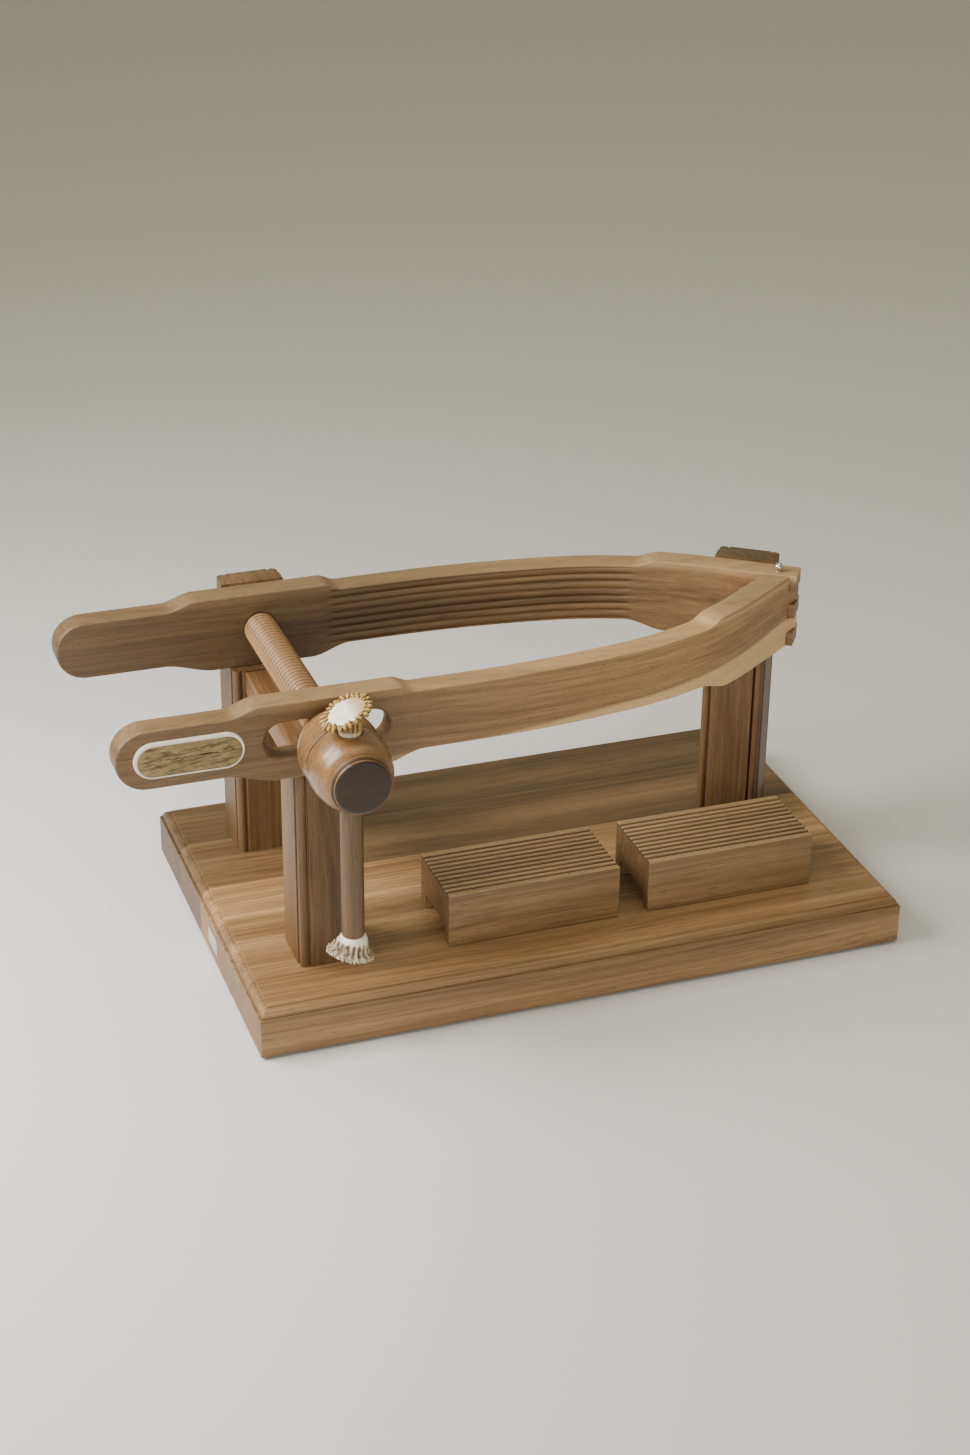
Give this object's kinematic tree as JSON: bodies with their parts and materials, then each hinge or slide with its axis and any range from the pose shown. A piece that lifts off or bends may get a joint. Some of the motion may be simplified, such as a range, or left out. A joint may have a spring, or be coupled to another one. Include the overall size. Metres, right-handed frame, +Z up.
{
  "type": "ham clamping stand",
  "caption": "Walnut stand with a moulded board, posts, a fixed jaw and a hinged jaw drawn in by a turned screw with a sliding bar; loose ribbed rest blocks.",
  "frame": {"origin": "centre of the board's plan on the floor plane, at the underside of the middle foot", "axes": "+X along the board towards the jaw hinge, +Y from the swinging jaw towards the fixed jaw, +Z up"},
  "size_m": [0.7039, 0.417, 0.334],
  "materials": {
    "walnut_board": "oiled satin",
    "walnut_board_pale": "oiled satin",
    "walnut_board_sap": "oiled satin",
    "foot_rubber": "matte",
    "plate_steel": "brushed",
    "walnut_post": "oiled satin",
    "dowel_wood": "plain",
    "bolt_steel": "zinc plated",
    "walnut_jaw": "oiled satin",
    "antler_inlay": "ribbed bark with a polished rim",
    "pin_steel": "polished",
    "walnut_turned": "satin lacquer",
    "walnut_screw": "satin",
    "antler_crown": "ribbed with polished faces",
    "walnut_block": "oiled satin"
  },
  "bodies": {
    "stand": {"board_stave_front": "walnut_board", "board_stave_front_inner": "walnut_board_pale", "board_stave_middle": "walnut_board_sap", "board_stave_rear_inner": "walnut_board_pale", "board_stave_rear": "walnut_board", "foot_pads": "foot_rubber", "name_plate": "plate_steel", "post_front_left": "walnut_post", "post_rear_left": "walnut_post", "post_rear_right": "walnut_post", "cross_rail": "walnut_post", "rail_dowels": "dowel_wood", "post_bolts": "bolt_steel", "rear_jaw": "walnut_jaw", "jaw_dowels": "dowel_wood"},
    "front_jaw": {"front_jaw": "walnut_jaw", "grip_inlay": "antler_inlay"},
    "hinge_pin": {"hinge_pin": "pin_steel"},
    "thrust_collar": {"thrust_collar": "walnut_turned"},
    "screw": {"clamp_screw": "walnut_screw", "screw_head": "walnut_turned", "head_cap": "walnut_turned", "head_pin": "dowel_wood"},
    "handle_bar": {"slide_bar": "walnut_turned", "crown_upper": "antler_crown", "crown_lower": "antler_crown", "crown_studs": "bolt_steel"},
    "rest_block_left": {"rest_block_left": "walnut_block"},
    "rest_block_right": {"rest_block_right": "walnut_block"}
  },
  "joints": [
    {"name": "screw_travel", "type": "slide", "parent": "stand", "child": "thrust_collar", "axis": [0, 1, 0], "range_m": [-0.0601, 0.0101]},
    {"name": "screw_turn", "type": "hinge", "parent": "thrust_collar", "child": "screw", "pos_m": [-0.22, 0, 0.271], "axis": [0, 1, 0], "range_deg": [-3600, 600]},
    {"name": "bar_slide", "type": "slide", "parent": "screw", "child": "handle_bar", "axis": [0, 0, 1], "range_m": [0, 0.108]},
    {"name": "front_jaw_swing", "type": "hinge", "parent": "stand", "child": "front_jaw", "pos_m": [0.243, -0.00975, 0.27], "axis": [0, 0, 1], "range_deg": [-1.22, 7.26]},
    {"name": "hinge_pin_lift", "type": "slide", "parent": "stand", "child": "hinge_pin", "axis": [0, 0, 1], "range_m": [0, 0.09]},
    {"name": "left_block_lift", "type": "slide", "parent": "stand", "child": "rest_block_left", "axis": [0, 0, 1], "range_m": [0, 0.1]},
    {"name": "right_block_lift", "type": "slide", "parent": "stand", "child": "rest_block_right", "axis": [0, 0, 1], "range_m": [0, 0.1]}
  ],
  "couplings": [
    {"joint": "screw_travel", "follows": "screw_turn", "m_per_rad": 0.00095493},
    {"joint": "front_jaw_swing", "follows": "screw_turn", "ratio": -0.0020146}
  ]
}
